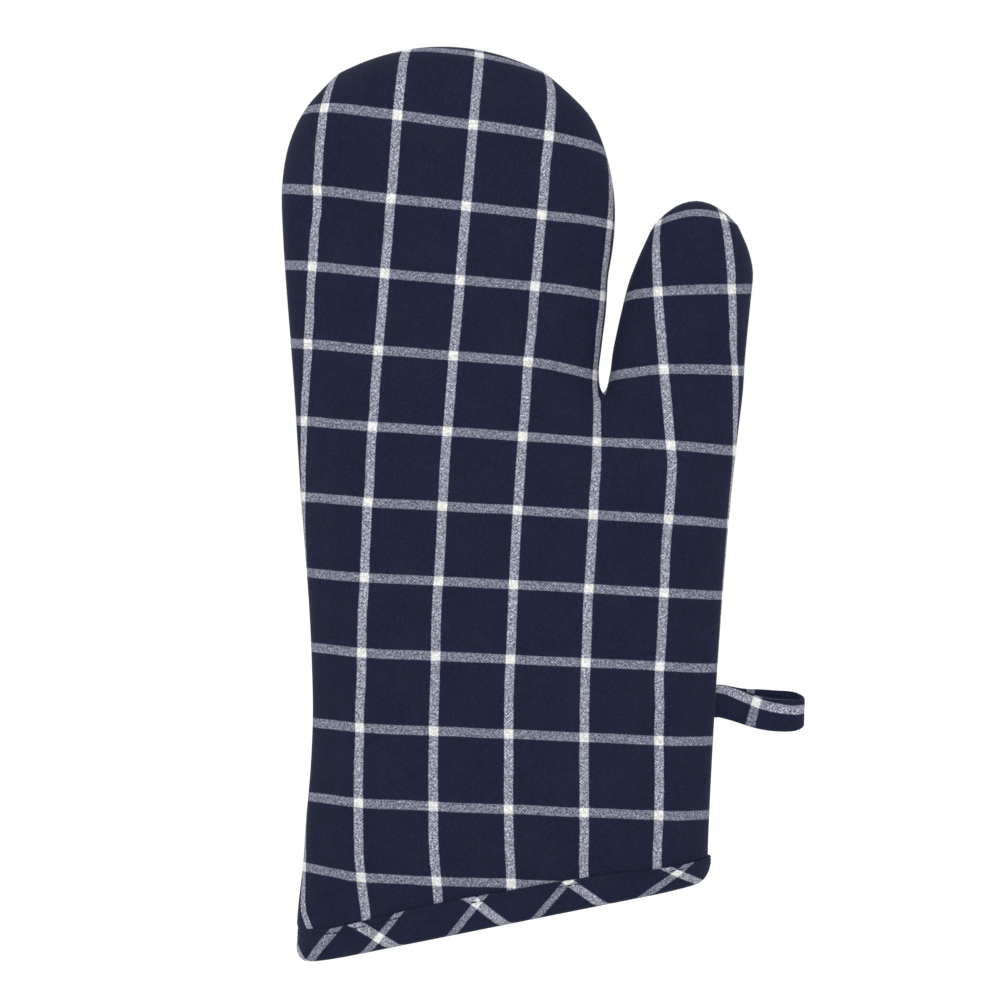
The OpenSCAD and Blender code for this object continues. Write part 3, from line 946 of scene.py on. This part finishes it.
def make_binding():
    profile = binding_profile()
    base = cuff_ring(BINDING_HEIGHT / 2)
    s = running_length(np.vstack([base, base[:1]]))[:-1]
    rings, flat = [], []

    def add_ring(height, offset, width):
        ring, outward = ring_frame(height)
        points = ring + outward * np.reshape(offset, (-1, 1))
        points[:, 2] += binding_sway(ring, s) * np.clip(height / BINDING_HEIGHT, 0, 1)
        points[:, 2] += round_corner(points[:, 0], height)
        rings.append(points)
        flat.append(np.stack([s, np.full_like(s, -width)], axis=1))

    widths = running_length(np.array(profile))
    for (offset, height), width in zip(profile, widths):
        swell_out = puffs(s, height, 11.0 if offset > -2 else 17.0)
        sign = 1 if offset > -2.5 else -1
        at_fold = abs(offset + LINING_INNER) <= 0.3 or abs(offset) <= 0.3
        add_ring(height, offset + sign * swell_out * (0.1 if at_fold else 1.0), width)
    # The section closes along the layers' raw edges, inside the fold.
    inside, outside = -LINING_INNER + 0.02, 0.02
    upper, lower = BINDING_HEIGHT - 0.2, 0.1
    for offset, height in ((inside, upper), (inside, lower), (outside, lower), (outside, upper)):
        add_ring(height, offset, widths[-1])
    count, levels = len(s), len(rings)
    faces = []
    for level in range(levels):
        after = (level + 1) % levels
        for k in range(count):
            n = (k + 1) % count
            faces.append([level * count + k, after * count + k, after * count + n, level * count + n])
    obj = new_mesh("bias_binding", np.vstack(rings), faces)
    flat = np.vstack(flat)
    # The strip is cut on the bias and pulled longer and narrower, so its check lies askew. Where
    # two stripes cross drifts from low on the strip at the finger side to high on it.
    x = np.tile(base[:, 0], levels)
    along = flat[:, 0] + np.interp(x, [-47, -12, 21, 60], [-2.3, -0.9, 3.1, 0.1])
    slip = np.interp(x, [-60, -47, -12, 21, 60], [8.7, 7.8, 3.1, 1.0, 4.2])
    a = (along - BIAS_START) / BIAS_LONGER
    b = (flat[:, 1] + slip) / BIAS_NARROWER
    check = np.stack([a + b, b - a], axis=1) * math.sqrt(0.5)
    # The strip is joined along a slant near its finger-side end, where its check doesn't meet.
    front = np.tile(base[:, 1] < 0, levels)
    height = BINDING_HEIGHT + flat[:, 1]
    joined = smooth_step((JOIN_X + JOIN_LEAN * height - x) / JOIN_WIDTH) * front
    check[:, 0] -= JOIN_CROSS_SHIFT * joined
    check[:, 1] += (JOIN_SHIFT - JOIN_SKEW * height) * joined
    set_cloth_coordinates(obj, check)
    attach(obj, "mitt")
    dress(obj, CHECK)
    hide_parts("cuff_binding")


def tube(path, radii, sides=8):
    """Points and faces of a round tube along a path, closed at both ends."""
    along = unit(np.gradient(path, axis=0))
    guide = np.array([0.0, 1.0, 0.0]) if abs(along[0][1]) < 0.8 else np.array([0.0, 0.0, 1.0])
    points, faces = [], []
    for k, (p, t) in enumerate(zip(path, along)):
        a = unit(np.cross(t, guide))
        b = np.cross(t, a)
        for n in range(sides):
            angle = 2 * math.pi * n / sides
            points.append(p + radii[k] * (a * math.cos(angle) + b * math.sin(angle)))
    for k in range(len(path) - 1):
        for n in range(sides):
            m = (n + 1) % sides
            faces.append([k * sides + n, k * sides + m, (k + 1) * sides + m, (k + 1) * sides + n])
    faces.append(list(range(sides))[::-1])
    faces.append([(len(path) - 1) * sides + n for n in range(sides)])
    return points, faces


def make_topstitch():
    """Stitches along the binding, outside and inside, that dip into the cloth at both ends."""
    points, faces = [], []
    rise = np.array([-0.35, 0.04, 0.13, 0.15, 0.13, 0.04, -0.35])
    radii = STITCH_RADIUS * np.array([0.8, 1, 1, 1, 1, 1, 0.8])
    for offset in (0.88, -LINING_INNER - 0.85):
        ring, outward = ring_frame(BINDING_HEIGHT - STITCH_DROP)
        places = np.vstack([ring, ring[:1]])
        normals = np.vstack([outward, outward[:1]])
        s = running_length(places)
        count = int(s[-1] / STITCH_PITCH)
        sign = 1 if offset > 0 else -1
        for k in range(count):
            start = (k + 0.09) * s[-1] / count
            end = (k + 0.91) * s[-1] / count
            t = np.linspace(start, end, len(rise))
            path = along_line(places, s, t)
            path[:, 2] += binding_sway(path, t) * (1 - STITCH_DROP / BINDING_HEIGHT)
            path += along_line(normals, s, t) * (offset + sign * rise)[:, None]
            stitch, sides = tube(path, radii)
            faces += [[v + len(points) for v in f] for f in sides]
            points += stitch
    obj = new_mesh("binding_topstitch", points, faces)
    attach(obj, "mitt")
    dress(obj, THREAD)
    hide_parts("binding_thread")


# ---------------------------------------------------------------- the hanging loop

ROOT_DEPTH = 5.5  # how far the strip's ends reach into the seam
LEG_POINTS = 26
BEND_STEPS = 18
DROOP = 3.7
BACK_LEG_RISE = 0.22  # for each unit that the leg stands back
PINCH = 0.13  # how much narrower the strip is at its bend
SOFT_EDGE = 0.6

def loop_path():
    """The strip's middle line, out of the seam along the front leg and back along the other."""
    low, high = (np.array(c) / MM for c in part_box("hanging_loop"))
    root = low[0] + STRIP_THICKNESS
    end = high[0] - STRIP_THICKNESS / 2
    half_gap = (high[1] - low[1]) / 2 - STRIP_THICKNESS / 2
    middle = (low[2] + high[2]) / 2
    bend = end - half_gap
    out = []
    for x in np.linspace(root - ROOT_DEPTH, bend, LEG_POINTS):
        parted = float(smooth_step((x - root - 1) / ((bend - root) * 0.75)))
        y = STRIP_THICKNESS / 2 + 0.02 + (half_gap - STRIP_THICKNESS / 2) * parted
        out.append((x, -y))
    for a in np.radians(np.linspace(-90, 90, BEND_STEPS + 1)[1:-1]):
        out.append((bend + half_gap * math.cos(a), half_gap * math.sin(a)))
    out += [(x, -y) for x, y in out[:LEG_POINTS][::-1]]
    path = np.array([(x, y, middle) for x, y in out])
    reach = np.clip((path[:, 0] - root) / (end - root), 0, 1)
    path[:, 2] += path[:, 1] * BACK_LEG_RISE * smooth_step(reach * 2)
    path[:, 2] -= DROOP * np.sin(math.pi / 2 * np.minimum(reach / 0.8, 1))
    return path


def strip_section(steps=7):
    """(across, through) round a soft-edged strip's section."""
    half, thick = STRIP_WIDTH / 2, STRIP_THICKNESS / 2
    flat = half - SOFT_EDGE
    side = [(x, thick * (1 - abs(x / half) ** 6 * 0.25)) for x in np.linspace(-flat, flat, steps)]
    ends = []
    for a in np.radians((55, 0, -55)):
        ends.append((flat + SOFT_EDGE * math.cos(a), 0.75 * thick * math.sin(a)))
    return side + ends + [(-x, -y) for x, y in side + ends]


def make_loop():
    path = evenly(loop_path(), 110)
    s = running_length(path)
    along = unit(np.gradient(path, axis=0))
    section = strip_section()
    points, flat = [], []
    for k, (p, t) in enumerate(zip(path, along)):
        width_way = unit(np.array([0.0, 0.0, 1.0]) - t * t[2])
        through = np.cross(width_way, t)
        narrower = 1 - PINCH * math.exp(-(((s[k] - s[-1] / 2) / 6.0) ** 2))
        for across, out in section:
            across *= narrower
            place = Vector((s[k] / 7.0, across / 5.0, out))
            wide = across + 0.15 * noise.noise(place * 0.7)
            deep = out + 0.25 * noise.noise(place)
            points.append(p + width_way * wide + through * deep)
            # A stripe runs askew along the outer face. The inner face is the strip's other side.
            stripe = 4.6 - 0.10 * (s[k] - ROOT_DEPTH)
            flat.append((across - stripe, s[k] - 18.0) if out < 0 else (across + 9.0, s[k] - 34.2))
    size = len(section)
    faces = []
    for k in range(len(path) - 1):
        for n in range(size):
            m = (n + 1) % size
            faces.append([k * size + n, (k + 1) * size + n, (k + 1) * size + m, k * size + m])
    faces.append(list(range(size)))
    faces.append([(len(path) - 1) * size + n for n in range(size)][::-1])
    obj = new_mesh("loop_strip", points, faces)
    set_cloth_coordinates(obj, np.array(flat))
    dress(obj, CHECK)
    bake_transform(obj)
    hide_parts("hanging_loop")


# ---------------------------------------------------------------- hidden threads keep their CAD shape


def dress_threads():
    for node, material in (
        ("seam_thread", THREAD),
        ("loop_thread", THREAD),
        ("lining_thread", PALE_THREAD),
    ):
        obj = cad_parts[node]
        obj.data.materials.clear()
        obj.data.materials.append(material)


# ---------------------------------------------------------------- stage, light and camera


FLOOR_REACH = 30.0
FLOOR_BELOW = 0.017  # from the cuff down to the floor


def make_stage():
    """A pale floor that glows, so that it can't be told from the background."""
    mesh = bpy.data.meshes.new("floor")
    z = cad_low[2] - FLOOR_BELOW
    corners = [(x * FLOOR_REACH, y * FLOOR_REACH, z) for x, y in ((-1, -1), (1, -1), (1, 1), (-1, 1))]
    mesh.from_pydata(corners, [], [[0, 1, 2, 3]])
    floor = bpy.data.objects.new("floor", mesh)
    bpy.context.scene.collection.objects.link(floor)
    g = Graph("pale_floor")
    g.bsdf.inputs["Base Color"].default_value = (0.2, 0.2, 0.2, 1)
    g.bsdf.inputs["Emission Color"].default_value = (1, 1, 1, 1)
    g.bsdf.inputs["Emission Strength"].default_value = 0.86
    floor.data.materials.append(g.finish(roughness=1.0))


def area_light(name, place, target, size, power, colour):
    light = bpy.data.lights.new(name, "AREA")
    light.shape = "RECTANGLE"
    light.size, light.size_y = size
    light.energy = power
    light.color = colour
    obj = bpy.data.objects.new(name, light)
    bpy.context.scene.collection.objects.link(obj)
    obj.location = place
    obj.rotation_euler = (Vector(target) - Vector(place)).to_track_quat("-Z", "Y").to_euler()


def make_light():
    world = bpy.data.worlds.new("studio")
    world.use_nodes = True
    background = world.node_tree.nodes["Background"]
    background.inputs["Color"].default_value = (1, 1, 1, 1)
    background.inputs["Strength"].default_value = 1.0
    bpy.context.scene.world = world
    middle = (0.0, 0.0, 0.15)
    area_light("key", (-0.7, -1.1, 0.9), middle, (0.8, 0.8), 6.0, (1, 0.99, 0.97))
    area_light("fill", (0.9, -1.0, 0.3), middle, (0.8, 1.0), 2.0, (0.97, 0.98, 1))
    view = bpy.context.scene.view_settings
    view.view_transform = "Standard"
    view.look = "None"


def make_camera():
    """Square on to the front, level with the middle of the view."""
    camera = bpy.data.cameras.new("camera")
    camera.sensor_width = 36.0
    camera.lens = 100.0
    obj = bpy.data.objects.new("camera", camera)
    bpy.context.scene.collection.objects.link(obj)
    obj.location = (-0.0032, -1.002, 0.1515)
    obj.rotation_euler = (math.pi / 2, 0, 0)
    bpy.context.scene.camera = obj


make_camera()
make_light()
make_stage()
make_layers()
make_binding()
make_topstitch()
make_loop()
dress_threads()
